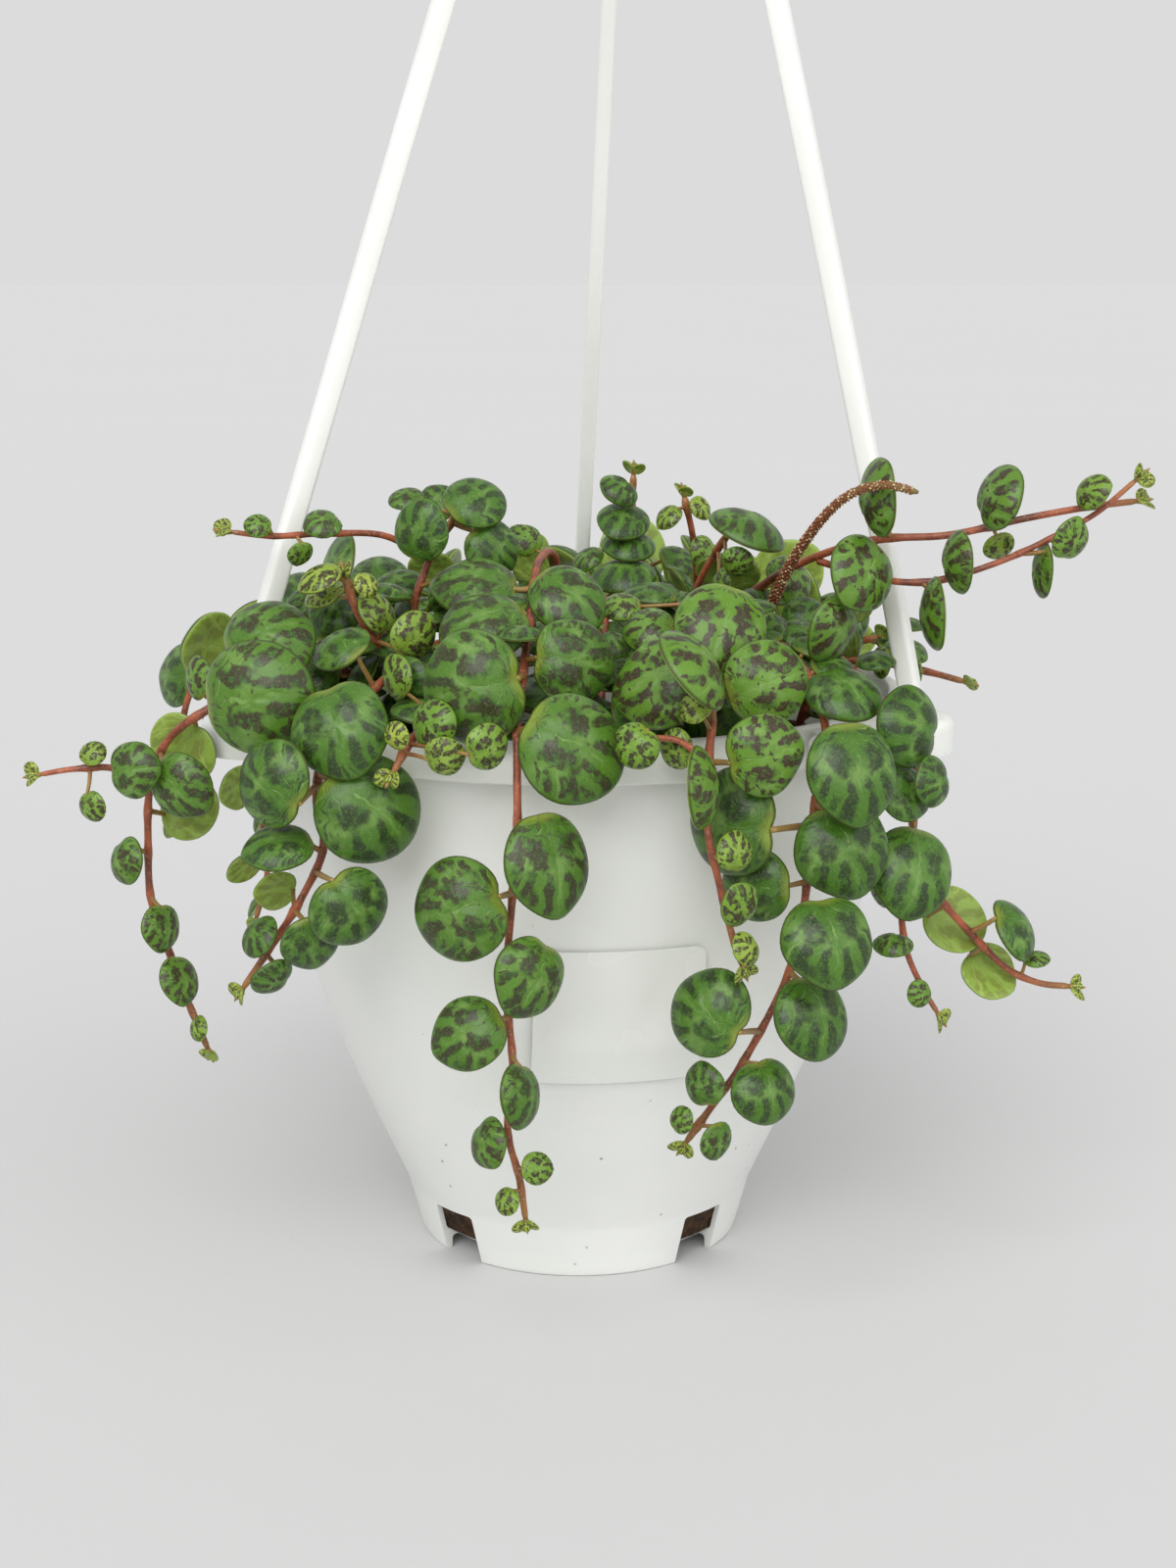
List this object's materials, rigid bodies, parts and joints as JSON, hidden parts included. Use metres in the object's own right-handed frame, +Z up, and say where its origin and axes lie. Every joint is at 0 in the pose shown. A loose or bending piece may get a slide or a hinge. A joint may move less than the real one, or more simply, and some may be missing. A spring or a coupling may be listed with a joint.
{
  "type": "potted string of turtles",
  "caption": "Trailing houseplant with round, domed, patterned leaves, rooted in soil in a white moulded hanging pot with ears, a notched foot and an arm hanger with a hook.",
  "frame": {"origin": "on the pot's axis, at the level of the foot that it stands on; the plant reaches about as far to each side, so it is also the middle of the box's base", "axes": "+Z up along the pot's axis, -Y towards the side with the label"},
  "size_m": [0.1952, 0.1757, 0.4018],
  "materials": {
    "pot_plastic": "satin",
    "hanger_plastic": "satin",
    "label_film": "gloss",
    "soil": "matte",
    "foliage": "satin",
    "flower_spike": "satin"
  },
  "bodies": {
    "root": {"pot": "pot_plastic", "soil": "soil", "hanger": "hanger_plastic", "label": "label_film", "flower_spike": "flower_spike", "trail_front_middle": "foliage", "trail_front_left": "foliage", "trail_left_outer": "foliage", "trail_front_young": "foliage", "trail_front_right": "foliage", "trail_right_outer": "foliage", "shoot_left_high": "foliage", "shoot_left_young": "foliage", "shoot_left_crown": "foliage", "shoot_rim_left": "foliage", "shoot_middle": "foliage", "shoot_right_reach": "foliage", "shoot_right_low": "foliage", "shoot_back_middle": "foliage", "shoot_back_right": "foliage", "trail_back_1": "foliage", "trail_back_2": "foliage", "trail_back_4": "foliage", "trail_back_5": "foliage", "trail_back_6": "foliage", "trail_back_7": "foliage", "trail_back_8": "foliage", "crown_1": "foliage", "crown_2": "foliage", "crown_3": "foliage", "crown_4": "foliage", "crown_5": "foliage", "crown_6": "foliage", "crown_7": "foliage", "crown_8": "foliage", "crown_9": "foliage", "crown_10": "foliage", "crown_11": "foliage", "crown_13": "foliage", "crown_14": "foliage"}
  },
  "joints": []
}
